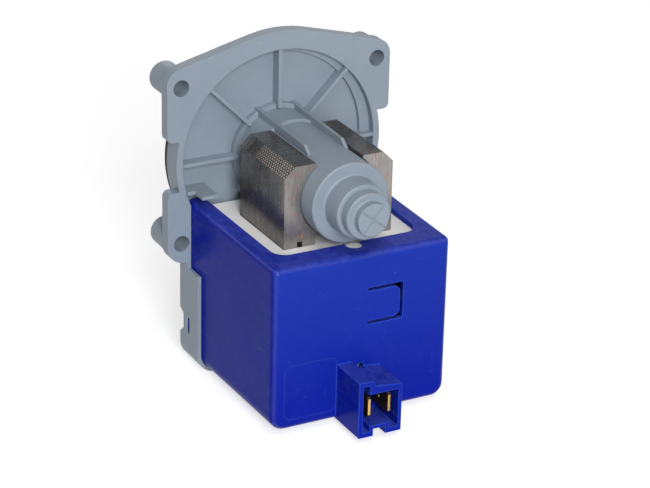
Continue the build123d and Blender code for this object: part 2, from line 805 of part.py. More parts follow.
with BuildPart() as coil_cover:
    extrude(cover_outline(0), amount=cover_rear - cover_front, taper=cover_taper)
    front_edges = faces().sort_by(Axis.Y)[0].edges()
    fillet(front_edges, cover_front_r)

    # Socket round the terminals, with a raised corner and a keyway underneath
    with BuildSketch(Plane.XZ.offset(-socket_front)):
        with BuildLine():
            Polyline(
                (socket_left, socket_bottom),
                (socket_left, socket_top_left),
                (socket_step_x, socket_top_left),
                (socket_step_x + socket_step_run, socket_top_right + socket_roof_fall / 2),
                (socket_right, socket_top_right - socket_roof_fall / 2),
                (socket_right, socket_bottom),
                close=True,
            )
        make_face()
        fillet(vertices().group_by(Axis.Y)[0], edge_r)
        with Locations(((key_left + key_right) / 2, socket_bottom)):
            Rectangle(
                key_right - key_left,
                key_top - socket_bottom,
                align=(Align.CENTER, Align.MIN),
                mode=Mode.SUBTRACT,
            )
    extrude(amount=socket_front - cover_front - cover_front_r)

    # Hollow inside, leaving the front wall
    extrude(
        cover_outline(cover_wall),
        amount=cover_rear - cover_front - cover_wall,
        taper=cover_taper,
        mode=Mode.SUBTRACT,
    )

    # Inside of the socket, with the key standing in it
    with BuildSketch(Plane.XZ.offset(-socket_front)):
        with BuildLine():
            Polyline(
                (socket_left + socket_wall, socket_bottom + socket_wall),
                (socket_left + socket_wall, socket_top_left - socket_wall),
                (socket_corner_right, socket_top_left - socket_wall),
                (socket_corner_right, socket_top_right - socket_roof),
                (socket_right - key_wall, socket_top_right - socket_roof),
                (socket_right - key_wall, socket_bottom + socket_wall),
                close=True,
            )
        make_face()
        with Locations(((key_left + key_right) / 2, socket_bottom)):
            Rectangle(
                key_right - key_left + 2 * key_wall,
                key_top + key_wall - socket_bottom,
                align=(Align.CENTER, Align.MIN),
                mode=Mode.SUBTRACT,
            )
    extrude(amount=socket_front - cover_front, mode=Mode.SUBTRACT)

    # Vent in the front wall above the socket's roof
    with BuildSketch(Plane.XZ.offset(-vent_front)):
        with Locations((vent_x, vent_low)):
            Rectangle(vent_width, vent_high - vent_low, align=(Align.CENTER, Align.MIN))
    extrude(amount=vent_front - cover_front - cover_wall, mode=Mode.SUBTRACT)

    # Slots for the two terminals
    with BuildSketch(Plane.XZ.offset(-cover_front)):
        with Locations((0, tab_centre_z)):
            with GridLocations(tab_pitch, 0, 2, 1):
                Rectangle(tab_thickness + 2 * slot_gap, tab_width + 2 * slot_gap)
    extrude(amount=-cover_wall, mode=Mode.SUBTRACT)

    # Opening in the top over the bobbins, with a notch for the bobbin's tab
    with BuildSketch(Plane.XY.offset(cover_top)):
        with BuildLine():
            Polyline(
                (-opening_front_half_width, opening_front),
                (opening_front_half_width, opening_front),
                (opening_rear_half_width, cover_rear),
                (-opening_rear_half_width, cover_rear),
                close=True,
            )
        make_face()
        fillet(vertices().group_by(Axis.Y)[0], opening_r)
        with Locations((bobbin_tab_x, bobbin_tab_y)):
            Circle(bobbin_tab_r + bobbin_to_leg_gap)
            Rectangle(
                2 * (bobbin_tab_r + bobbin_to_leg_gap),
                opening_front - bobbin_tab_y,
                align=(Align.CENTER, Align.MIN),
            )
    extrude(amount=bobbin_top - cover_top, mode=Mode.SUBTRACT)

    # Spring tongue freed by a slot on three sides
    with BuildSketch(Plane.XZ.offset(-cover_front)):
        with Locations((tongue_left, tongue_slot_bottom)):
            Rectangle(
                tongue_slot_right - tongue_left,
                tongue_slot_top - tongue_slot_bottom,
                align=(Align.MIN, Align.MIN),
            )
        with BuildSketch(mode=Mode.PRIVATE) as tongue:
            with Locations((tongue_left, tongue_slot_bottom + tongue_slot_width)):
                Rectangle(
                    tongue_slot_right - tongue_left - tongue_slot_width,
                    tongue_slot_top - tongue_slot_bottom - 2 * tongue_slot_width,
                    align=(Align.MIN, Align.MIN),
                )
            fillet(vertices().group_by(Axis.X)[-1], tongue_corner_r)
        add(tongue.sketch, mode=Mode.SUBTRACT)
    extrude(amount=-cover_wall, mode=Mode.SUBTRACT)

    # Latch nubs that sit in the tray's windows
    for side in (-1, 1):
        with BuildSketch(Plane.YZ.offset(side * (cover_half_width - cover_wall / 2))):
            with Locations((window_front + latch_gap, window_bottom + latch_gap)):
                Rectangle(
                    window_rear - window_front - 2 * latch_gap,
                    window_top - window_bottom - 2 * latch_gap,
                    align=(Align.MIN, Align.MIN),
                )
        extrude(amount=side * (cover_wall / 2 + latch_height))

coil_cover.part.label = "coil_cover"
export_step(coil_cover.part, "parts/coil_cover.step")


# Impeller: a hollow hub on a back plate with straight vanes, and a stop inside the hub
with BuildPart() as impeller:
    with BuildSketch(Plane.XY):
        half_section(0, impeller_hub_r, impeller_base, impeller_nose)
        half_section(0, impeller_plate_r, impeller_base, impeller_base + impeller_plate)
    revolve(axis=Axis.Y)
    with BuildSketch(Plane.XY):
        with BuildLine():
            Polyline(
                (0, impeller_base),
                (vane_tip_r, impeller_base),
                (vane_tip_r, impeller_base + vane_length - vane_tip_slope),
                (impeller_hub_r, impeller_base + vane_length),
                (0, impeller_base + vane_length),
                close=True,
            )
        make_face()
        tip = vertices().filter_by(lambda v: v.X > impeller_plate_r)
        fillet(tip, vane_fillet)
    vane_blank = extrude(amount=vane_thickness / 2, both=True, mode=Mode.PRIVATE)
    for turn in range(vane_count):
        add(vane_blank.rotate(Axis.Y, turn * full_turn / vane_count))
    with BuildSketch(Plane.XY):
        half_section(0, impeller_cavity_r, impeller_cavity_floor, impeller_nose)
        half_section(0, cap_r, impeller_nose - cap_socket_depth, impeller_nose)
        half_section(0, shaft_r + running_gap, impeller_base, impeller_nose)
    revolve(axis=Axis.Y, mode=Mode.SUBTRACT)
    with BuildSketch(Plane.XZ.offset(-impeller_cavity_floor)):
        add(sector(stop_inner_r, impeller_cavity_r + impeller_hub_wall / 2, stop_angle, stop_half_angle))
    extrude(amount=-(clutch_length + dog_start_gap))

impeller.part.label = "impeller"
export_step(impeller.part, "parts/impeller.step")


# Cap over the impeller's nose, which also carries the shaft's end
with BuildPart() as impeller_cap:
    cap_seat = impeller_nose - cap_socket_depth
    with BuildSketch(Plane.XY):
        half_section(0, cap_r, cap_seat, cap_seat + cap_thickness)
        chamfer(vertices().filter_by(lambda v: v.X > shaft_r and v.Y > cap_seat), edge_r)
        half_section(0, impeller_cavity_r, cap_seat - cap_pilot, cap_seat)
        half_section(
            0,
            shaft_r + running_gap,
            cap_seat - cap_pilot,
            shaft_front + shaft_end_gap,
            mode=Mode.SUBTRACT,
        )
    revolve(axis=Axis.Y)

impeller_cap.part.label = "impeller_cap"
export_step(impeller_cap.part, "parts/impeller_cap.step")


# Rubber pad that wraps the impeller's stop
pad_base = impeller_cavity_floor + dog_start_gap

with BuildPart() as impeller_damper:
    with BuildSketch(Plane.XZ.offset(-pad_base)):
        add(sector(dog_hub_r + dog_gap, impeller_cavity_r, stop_angle, stop_half_angle + pad_angle))
        add(
            sector(stop_inner_r, impeller_cavity_r + impeller_hub_wall / 2, stop_angle, stop_half_angle),
            mode=Mode.SUBTRACT,
        )
    extrude(amount=-clutch_length)

impeller_damper.part.label = "impeller_damper"
export_step(impeller_damper.part, "parts/impeller_damper.step")


# Dog on the shaft, which turns half round before it takes the impeller along
with BuildPart() as drive_dog:
    with BuildSketch(Plane.XZ.offset(-pad_base)):
        Circle(dog_hub_r)
        add(sector(shaft_r, impeller_cavity_r - dog_gap, stop_angle + full_turn / 2, dog_half_angle))
        Circle(shaft_r, mode=Mode.SUBTRACT)
    extrude(amount=-clutch_length)

drive_dog.part.label = "drive_dog"
export_step(drive_dog.part, "parts/drive_dog.step")
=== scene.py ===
"""The looks of a drain pump: its finishes, its core as a stack of sheets, its coils as wound wire."""
import math

import bmesh
import bpy
from mathutils import Matrix, Vector


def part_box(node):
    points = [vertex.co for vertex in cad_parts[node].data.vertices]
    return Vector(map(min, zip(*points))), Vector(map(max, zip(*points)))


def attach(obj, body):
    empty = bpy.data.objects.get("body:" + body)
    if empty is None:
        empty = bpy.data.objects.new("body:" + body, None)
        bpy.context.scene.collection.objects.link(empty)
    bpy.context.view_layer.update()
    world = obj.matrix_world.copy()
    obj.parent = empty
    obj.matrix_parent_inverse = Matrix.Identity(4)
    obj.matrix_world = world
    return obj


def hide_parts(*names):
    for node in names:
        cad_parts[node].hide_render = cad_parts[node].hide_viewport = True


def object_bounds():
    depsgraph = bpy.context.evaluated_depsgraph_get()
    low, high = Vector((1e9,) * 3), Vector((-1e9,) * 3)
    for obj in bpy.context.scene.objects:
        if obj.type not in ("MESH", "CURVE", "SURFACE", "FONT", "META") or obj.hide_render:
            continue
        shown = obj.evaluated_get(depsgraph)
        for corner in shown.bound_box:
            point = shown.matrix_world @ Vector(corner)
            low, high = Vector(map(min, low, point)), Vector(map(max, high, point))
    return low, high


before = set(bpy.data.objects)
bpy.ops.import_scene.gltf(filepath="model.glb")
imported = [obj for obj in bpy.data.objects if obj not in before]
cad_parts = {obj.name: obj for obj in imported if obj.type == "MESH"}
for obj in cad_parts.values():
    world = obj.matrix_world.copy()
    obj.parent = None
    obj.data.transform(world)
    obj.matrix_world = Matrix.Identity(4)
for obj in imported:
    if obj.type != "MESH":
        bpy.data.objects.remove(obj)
cad_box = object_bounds()
MM = 0.001
X, Y, Z = range(3)


# Shader arithmetic
class Value:
    """A number that a finish works out at each point, used in ordinary arithmetic."""

    def __init__(self, finish, socket):
        self.finish = finish
        self.socket = socket

    def __add__(self, other):
        return self.finish.calculate("ADD", self, other)

    def __sub__(self, other):
        return self.finish.calculate("SUBTRACT", self, other)

    def __rsub__(self, other):
        return self.finish.calculate("SUBTRACT", other, self)

    def __mul__(self, other):
        return self.finish.calculate("MULTIPLY", self, other)

    def __pow__(self, other):
        return self.finish.calculate("POWER", self, other)

    def above(self, level, soft):
        """0 below the level, 1 above it, with a smooth step that is soft wide on either side."""
        return self.finish.node(
            "ShaderNodeMapRange",
            {"interpolation_type": "SMOOTHSTEP"},
            {"Value": self, "From Min": level - soft, "From Max": level + soft},
        )


class Finish:
    """A material under construction."""

    def __init__(self, name):
        self.material = bpy.data.materials.new(name)
        self.material.use_nodes = True
        self.tree = self.material.node_tree
        self.shader = self.tree.nodes["Principled BSDF"]
        self.place = self.node("ShaderNodeTexCoord", output="Object")

    def feed(self, socket, value):
        """Links a Value to the socket, or writes a constant straight on it."""
        if isinstance(value, Value):
            self.tree.links.new(value.socket, socket)
        elif socket.type == "RGBA":
            socket.default_value = (*value, 1.0)
        else:
            socket.default_value = value

    def node(self, kind, settings=None, inputs=None, output=0):
        """Adds a node of that kind and returns one of its outputs as a Value."""
        made = self.tree.nodes.new(kind)
        for name, value in (settings or {}).items():
            setattr(made, name, value)
        for name, value in (inputs or {}).items():
            self.feed(made.inputs[name], value)
        return Value(self, made.outputs[output])

    def calculate(self, operation, *numbers):
        """One step of arithmetic, under the Math node's own name for it."""
        return self.node("ShaderNodeMath", {"operation": operation}, dict(enumerate(numbers)))

    def noise(self, size_mm, detail, rough, stretch=(1.0, 1.0, 1.0), distortion=0.0):
        """Cloudy noise whose patches are about that many millimetres across."""
        spread = self.node(
            "ShaderNodeMapping",
            {"vector_type": "POINT"},
            {"Vector": self.place, "Scale": stretch},
        )
        return self.node(
            "ShaderNodeTexNoise",
            inputs={
                "Vector": spread,
                "Scale": 1 / (size_mm * MM),
                "Detail": detail,
                "Roughness": rough,
                "Distortion": distortion,
            },
        )

    def blend(self, factor, first, second):
        """The second colour over the first, by a factor."""
        # The Mix node's colours are its inputs 6 and 7 and its output 2.
        inputs = {0: factor, 6: first, 7: second}
        return self.node("ShaderNodeMix", {"data_type": "RGBA"}, inputs, output=2)

    def along(self, axis):
        """The place along X, Y or Z, in metres."""
        return self.node("ShaderNodeSeparateXYZ", inputs={0: self.place}, output=axis)

    def ripple(self, axis, period_mm):
        """A wave from -1 to 1 along X, Y or Z."""
        return self.calculate("SINE", self.along(axis) * (2 * math.pi / (period_mm * MM)))

    def facing(self, axis):
        """How far the surface faces along X, Y or Z, from -1 to 1."""
        normal = self.node("ShaderNodeNewGeometry", output="Normal")
        return self.node("ShaderNodeSeparateXYZ", inputs={0: normal}, output=axis)

    def curved(self):
        """1 midway round the roundings between flat faces, 0 on the faces."""
        squares = [facing * facing for facing in (self.facing(axis) for axis in (X, Y, Z))]
        most = self.calculate("MAXIMUM", squares[X], squares[Y])
        most = self.calculate("MAXIMUM", most, squares[Z])
        return 1.0 - most.above(0.72, soft=0.14)

    def rounded_normal(self, radius_mm, samples):
        """The normal that the surface would have with its edges rounded by that radius."""
        return self.node("ShaderNodeBevel", {"samples": samples}, {"Radius": radius_mm * MM})

    def edges_for_wear_and_highlight(self, radius_mm):
        """1 on sharp edges, falling to 0 at that distance from them."""
        normal = self.node("ShaderNodeNewGeometry", output="Normal")
        rounded = self.rounded_normal(radius_mm, samples=6)
        alike = self.node(
            "ShaderNodeVectorMath",
            {"operation": "DOT_PRODUCT"},
            {0: normal, 1: rounded},
            output="Value",
        )
        return (1.0 - alike).above(0.06, soft=0.06)

    def rounded_outline(self, middle_mm, half_mm, corner_mm, line_mm):
        """1 on the outline of a rounded rectangle in X and Z, 0 away from it."""
        beyond = []
        for axis, middle, half in zip((X, Z), middle_mm, half_mm):
            away = self.calculate("ABSOLUTE", self.along(axis) - middle * MM)
            beyond.append(self.calculate("MAXIMUM", away - (half - corner_mm) * MM, 0.0))
        distance = (beyond[0] * beyond[0] + beyond[1] * beyond[1]) ** 0.5 - corner_mm * MM
        return 1.0 - self.calculate("ABSOLUTE", distance).above(line_mm * MM, soft=line_mm * MM)

    def set(self, **sockets):
        """Sets the shader's sockets, written with underscores for spaces."""
        for name, value in sockets.items():
            self.feed(self.shader.inputs[name.replace("_", " ")], value)

    def relief(self, height, depth_mm, round_mm=0.0):
        """Bumps the surface by a height from 0 to 1, over edges rounded by that radius."""
        inputs = {"Height": height, "Distance": depth_mm * MM, "Strength": 1.0}
        if round_mm:
            inputs["Normal"] = self.rounded_normal(round_mm, samples=4)
        self.set(Normal=self.node("ShaderNodeBump", inputs=inputs))


# Mouldings
def moulded(name, colour, dusty, worn_and_highlit, rough, grain_mm, grain_depth_mm):
    """Moulded plastic: cloudy colour, a film of dust, fine scratches and the grain of the mould."""
    finish = Finish(name)
    clouds = finish.noise(14.0, detail=3.0, rough=0.55)
    smears = finish.noise(5.0, detail=4.0, rough=0.65, distortion=0.6)
    scratches = finish.noise(0.55, detail=3.0, rough=0.6, stretch=(1.0, 0.08, 0.35))
    cross_scratches = finish.noise(0.6, detail=2.0, rough=0.6, stretch=(0.07, 1.0, 0.5))
    grain = finish.noise(grain_mm, detail=2.0, rough=0.6)
    film = smears.above(0.56, soft=0.16) * 0.55
    marks = (scratches.above(0.69, soft=0.02) + cross_scratches.above(0.7, soft=0.02)) * clouds
    tone = finish.blend(clouds, colour, dusty)
    tone = finish.blend(film * 0.6, tone, dusty)
    # Scratches and sharp edges take the worn colour; on the edges it is partly wear and partly a
    # painted highlight.
    tone = finish.blend(marks * 0.5 + finish.edges_for_wear_and_highlight(0.3) * 0.35, tone, worn_and_highlit)
    finish.set(
        Base_Color=tone,
        Roughness=clouds * 0.10 + film * 0.12 + marks * 0.15 + rough,
        Specular_IOR_Level=0.5,
    )
    finish.relief(grain + clouds * 0.5 - marks * 0.4, grain_depth_mm, round_mm=0.3)
    return finish.material


def moulded_grey():
    """The pump cover's bluish grey."""
    return moulded(
        "moulded_grey",
        colour=(0.212, 0.262, 0.318),
        dusty=(0.255, 0.302, 0.355),
        worn_and_highlit=(0.38, 0.42, 0.47),
        rough=0.42,
        grain_mm=0.45,
        grain_depth_mm=0.018,
    )


def moulded_blue():
    """Glossy blue: greyish bloom with painted sheen on sides and top, painted light, scuffs, a mould
    insert's faint outline.
    """
    deep = (0.0034, 0.0115, 0.288)
    plain = (0.0054, 0.0160, 0.355)
    painted_light_blue = (0.020, 0.052, 0.390)
    greyish_dust_and_sheen = (0.025, 0.045, 0.262)
    bloom_and_top_light = (0.064, 0.094, 0.50)
    rubbed_and_highlit = (0.030, 0.115, 0.78)
    scuffed = (0.16, 0.20, 0.55)
    painted_light_from, painted_light_fade = -38 * MM, 28 * MM

    finish = Finish("moulded_blue")
    front = (finish.facing(Y) * -1.0).above(0.6, soft=0.3)
    top = finish.facing(Z).above(0.7, soft=0.2)
    clouds = finish.noise(22.0, detail=3.0, rough=0.5)
    smears = finish.noise(6.0, detail=5.0, rough=0.62, stretch=(1.0, 0.45, 1.0), distortion=0.8)
    # The film is dust smears, but kept mostly off the front so the sides and top read greyer and
    # darker: partly a painted sheen and shade.
    film = (smears + top * 0.12).above(0.56, soft=0.2) * (1.0 - front * 0.8)
    # Painted light: the front face is lighter towards its top, as if lit from above.
    painted_top_light = front * finish.along(Z).above(painted_light_from, soft=painted_light_fade)
    bloom = finish.noise(4.3, detail=5.0, rough=0.66, stretch=(1.0, 0.7, 1.0), distortion=1.2)
    specks = finish.noise(0.8, detail=2.0, rough=0.5).above(0.73, soft=0.03)
    strokes = finish.noise(0.9, detail=3.0, rough=0.6, stretch=(0.6, 0.12, 1.0))
    scuffs = strokes.above(0.66, soft=0.03) * smears.above(0.55, soft=0.06)
    insert = finish.rounded_outline(
        middle_mm=(-16.2, -50.5),
        half_mm=(8.3, 8.4),
        corner_mm=2.5,
        line_mm=0.2,
    )
    outline = insert * front
    tone = finish.blend(clouds, deep, plain)
    tone = finish.blend(painted_top_light * 0.55, tone, painted_light_blue)
    tone = finish.blend(film * 0.45, tone, greyish_dust_and_sheen)
    # The top is lighter: a painted light over all of it, plus patches of bloom.
    tone = finish.blend(top * (bloom.above(0.52, soft=0.2) * 0.45 + 0.12), tone, bloom_and_top_light)
    # Sharp edges lighter: partly wear and partly a painted highlight.
    tone = finish.blend(finish.edges_for_wear_and_highlight(0.6) * 0.6, tone, rubbed_and_highlit)
    tone = finish.blend(specks * 0.2 + scuffs * 0.25 + outline * 0.06, tone, scuffed)
    finish.set(
        Base_Color=tone,
        Roughness=film * 0.14 + scuffs * 0.12 + clouds * 0.05 + 0.20,
        Specular_IOR_Level=0.035,
        Coat_Weight=finish.curved() * 0.5,
        Coat_Roughness=0.16,
    )
    swells = finish.noise(16.0, detail=1.0, rough=0.4)
    fine = finish.noise(0.6, detail=2.0, rough=0.5)
    height = swells + fine * 0.03 + outline * 0.25 - scuffs * 0.05
    finish.relief(height, depth_mm=0.12, round_mm=0.35)
    return finish.material


def moulded_white():
    """The bobbins' off-white, also on the thrust washers."""
    return moulded(
        "moulded_white",
        colour=(0.94, 0.935, 0.915),
        dusty=(0.84, 0.83, 0.80),
        worn_and_highlit=(0.94, 0.94, 0.92),
        rough=0.45,
        grain_mm=0.5,
        grain_depth_mm=0.015,
    )


def moulded_dark():
    """The near-black of the impeller, the carrier and the rotor's mouldings."""
    return moulded(
        "moulded_dark",
        colour=(0.030, 0.031, 0.034),
        dusty=(0.055, 0.055, 0.058),
        worn_and_highlit=(0.10, 0.10, 0.10),
        rough=0.40,
        grain_mm=0.4,
        grain_depth_mm=0.02,
    )


def soft_rubber():
    """Black rubber with a matte skin and a little powder."""
    bare, powdered = (0.018, 0.018, 0.019), (0.075, 0.075, 0.075)
    finish = Finish("soft_rubber")
    powder = finish.noise(2.5, detail=4.0, rough=0.7)
    finish.set(
        Base_Color=finish.blend(powder.above(0.58, soft=0.12) * 0.5, bare, powdered),
        Roughness=powder * 0.2 + 0.62,
        Specular_IOR_Level=0.35,
    )
    finish.relief(finish.noise(0.3, detail=2.0, rough=0.6), depth_mm=0.02, round_mm=0.2)
    return finish.material


# Metals
def sheet_edges():
    """The sheets' sheared edges: fine lines, oxide, a little rust, painted glints on the left
    chamfer.
    """
    dark_line, bright_line = (0.095, 0.090, 0.083), (0.320, 0.300, 0.278)
    banded = (0.10, 0.095, 0.09)
    oxidized = (0.075, 0.069, 0.064)
    speckled = (0.07, 0.065, 0.06)
    glint_patch_dark = (0.04, 0.036, 0.033)
    # bright is the burrs' bare metal and also the colour of the painted glints.
    bright = (0.82, 0.77, 0.70)
    rusty = (0.30, 0.085, 0.032)
    glint_pitch_y, glint_pitch_z = 1.2, 1.05
    # The painted glints reach back from the core's front to this Y, and raggedly up to that much
    # farther.
    glints_end, ragged, glints_fade = -25.5 * MM, 14 * MM, 3.5 * MM

    finish = Finish("sheet_edges")
    lines = finish.noise(0.5, detail=3.0, rough=0.75, stretch=(0.04, 1.0, 0.04))
    bands = finish.noise(3.2, detail=4.0, rough=0.65, stretch=(0.3, 1.0, 0.22))
    oxide = finish.noise(2.2, detail=5.0, rough=0.68)
    burrs = finish.noise(0.45, detail=2.0, rough=0.6).above(0.66, soft=0.03)
    rust = finish.noise(1.3, detail=4.0, rough=0.7).above(0.69, soft=0.03)
    speckle = finish.noise(0.5, detail=3.0, rough=0.7).above(0.52, soft=0.08)
    waves = finish.ripple(Y, glint_pitch_y) * finish.ripple(Z, glint_pitch_z)
    painted_glints = waves.above(0.4, soft=0.2)
    leftwards = (finish.facing(X) * -1.0).above(0.5, soft=0.1)
    upwards = finish.facing(Z).above(0.5, soft=0.1)
    ahead = finish.noise(4.0, detail=3.0, rough=0.6) * ragged + glints_end - finish.along(Y)
    lit = leftwards * upwards * ahead.above(0.0, soft=glints_fade)
    tone = finish.blend(lines.above(0.5, soft=0.12), dark_line, bright_line)
    tone = finish.blend(bands.above(0.5, soft=0.12) * 0.45, tone, banded)
    tone = finish.blend(oxide.above(0.54, soft=0.12) * 0.6, tone, oxidized)
    tone = finish.blend(speckle * 0.4, tone, speckled)
    # Painted glints: the chamfer patch is darkened, then dotted with bright painted highlights.
    tone = finish.blend(lit * 0.8, tone, glint_patch_dark)
    tone = finish.blend(burrs * 0.6 + painted_glints * lit * 0.8, tone, bright)
    tone = finish.blend(rust * 0.6, tone, rusty)
    finish.set(
        Base_Color=tone,
        Metallic=0.82 - rust * 0.6,
        Roughness=oxide * 0.12 + rust * 0.3 + lit * 0.2 + 0.13,
    )
    finish.relief(lines + oxide * 0.3, depth_mm=0.008)
    return finish.material


def sheet_faces():
    """The sheets' flat faces: rolled steel with drag lines, grey stains and flecks of orange rust."""
    grooved, smooth = (0.255, 0.242, 0.228), (0.395, 0.378, 0.36)
    stained = (0.20, 0.185, 0.175)
    pitted = (0.10, 0.095, 0.09)
    rusty = (0.46, 0.125, 0.045)
    finish = Finish("sheet_faces")
    drag = finish.noise(0.42, detail=4.0, rough=0.7, stretch=(1.0, 1.0, 0.035))
    stains = finish.noise(5.0, detail=4.0, rough=0.62)
    pits = finish.noise(0.6, detail=3.0, rough=0.6, stretch=(1.0, 1.0, 0.6)).above(0.66, soft=0.03)
    flecks = finish.noise(1.15, detail=4.0, rough=0.62, stretch=(1.25, 1.0, 0.6))
    rusted = finish.noise(6.5, detail=2.0, rough=0.5)
    rust = flecks.above(0.6, soft=0.02) * rusted.above(0.47, soft=0.05)
    tone = finish.blend(drag.above(0.5, soft=0.3), grooved, smooth)
    tone = finish.blend(stains.above(0.54, soft=0.16) * 0.4, tone, stained)
    tone = finish.blend(pits * 0.4, tone, pitted)
    tone = finish.blend(rust * 0.85, tone, rusty)
    finish.set(
        Base_Color=tone,
        Metallic=0.80 - rust * 0.7,
        Roughness=drag * 0.10 + stains * 0.14 + rust * 0.35 + 0.22,
    )
    finish.relief(drag - rust * 0.5 - pits * 0.4, depth_mm=0.008)
    return finish.material


def tab_brass():
    """Rolled brass: darker on its flats, bright on its sheared edges."""
    bright, dull, dark_flat = (0.76, 0.50, 0.16), (0.50, 0.32, 0.10), (0.085, 0.062, 0.030)
    finish = Finish("tab_brass")
    lines = finish.noise(0.35, detail=3.0, rough=0.6, stretch=(1.0, 0.08, 1.0))
    patches = finish.noise(2.0, detail=4.0, rough=0.6)
    sideways = finish.facing(X)
    flat = (sideways * sideways).above(0.6, soft=0.2)
    tone = finish.blend(patches.above(0.52, soft=0.2) * 0.4, bright, dull)
    tone = finish.blend(flat * (1.0 - patches * 0.25), tone, dark_flat)
    finish.set(Base_Color=tone, Metallic=1.0, Roughness=lines * 0.12 + flat * 0.15 + 0.22)
    finish.relief(lines, depth_mm=0.006, round_mm=0.12)
    return finish.material


def turned(name, colour, dull, rough, shine, brush):
    """A turned or ground surface with fine lines and duller patches."""
    finish = Finish(name)
    lines = finish.noise(0.35, detail=3.0, rough=0.6, stretch=brush)
    patches = finish.noise(3.5, detail=4.0, rough=0.6)
    finish.set(
        Base_Color=finish.blend(patches.above(0.52, soft=0.2) * 0.6, colour, dull),
        Metallic=shine,
        Roughness=lines * 0.12 + patches * 0.12 + rough,
    )
    finish.relief(lines, depth_mm=0.006, round_mm=0.1)
    return finish.material


def ground_steel():
    """The shaft's steel, ground along its length."""
    return turned(
        "ground_steel",
        colour=(0.62, 0.62, 0.63),
        dull=(0.45, 0.45, 0.46),
        rough=0.14,
        shine=1.0,
        brush=(1.0, 0.1, 1.0),
    )


def bush_carbon():
    """The bushes' dark carbon."""
    return turned(
        "bush_carbon",
        colour=(0.035, 0.035, 0.036),
        dull=(0.06, 0.06, 0.06),
        rough=0.4,
        shine=0.2,
        brush=(1.0, 1.0, 1.0),
    )


def copper_wire():
    """Enamelled copper, darker where the varnish is thick."""
    bare, varnished = (0.60, 0.215, 0.070), (0.30, 0.085, 0.030)
    finish = Finish("copper_wire")
    varnish = finish.noise(2.5, detail=4.0, rough=0.6)
    finish.set(
        Base_Color=finish.blend(varnish.above(0.5, soft=0.2), bare, varnished),
        Metallic=0.85,
        Roughness=varnish * 0.15 + 0.22,
        Coat_Weight=0.4,
    )
    finish.relief(varnish, depth_mm=0.01)
    return finish.material


def sintered_magnet():
    """A dark sintered magnet, slightly speckled."""
    dark_grain, light_grain = (0.055, 0.055, 0.058), (0.13, 0.13, 0.135)
    finish = Finish("sintered_magnet")
    grain = finish.noise(0.5, detail=3.0, rough=0.7)
    finish.set(
        Base_Color=finish.blend(grain, dark_grain, light_grain),
        Metallic=0.35,
        Roughness=grain * 0.2 + 0.42,
    )
    finish.relief(grain, depth_mm=0.02, round_mm=0.1)
    return finish.material


edges = sheet_edges()
sheets = sheet_faces()
copper = copper_wire()
finished_nodes = (
    (moulded_grey(), ("pump_cover",)),
    (moulded_blue(), ("coil_cover",)),
    (moulded_white(), ("bobbin_left", "bobbin_right", "front_thrust_washer", "rear_thrust_washer")),
    (moulded_dark(), ("bush_carrier", "impeller", "impeller_cap", "rotor_hub", "drive_dog")),
    (
        soft_rubber(),
        (
            "flange_gasket",
            "carrier_o_ring",
            "front_bush_damper",
            "rear_bush_damper",
            "impeller_damper",
        ),
    ),
    (bush_carbon(), ("front_bush", "rear_bush")),
    (ground_steel(), ("rotor_shaft",)),
    (sintered_magnet(), ("rotor_magnet",)),
    (tab_brass(), ("terminal_left", "terminal_right")),
    (edges, ("stator_core",)),
    (copper, ("winding_left", "winding_right")),
)
for material, node_names in finished_nodes:
    for node_name in node_names:
        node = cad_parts[node_name]
        node.data.materials.clear()
        node.data.materials.append(material)


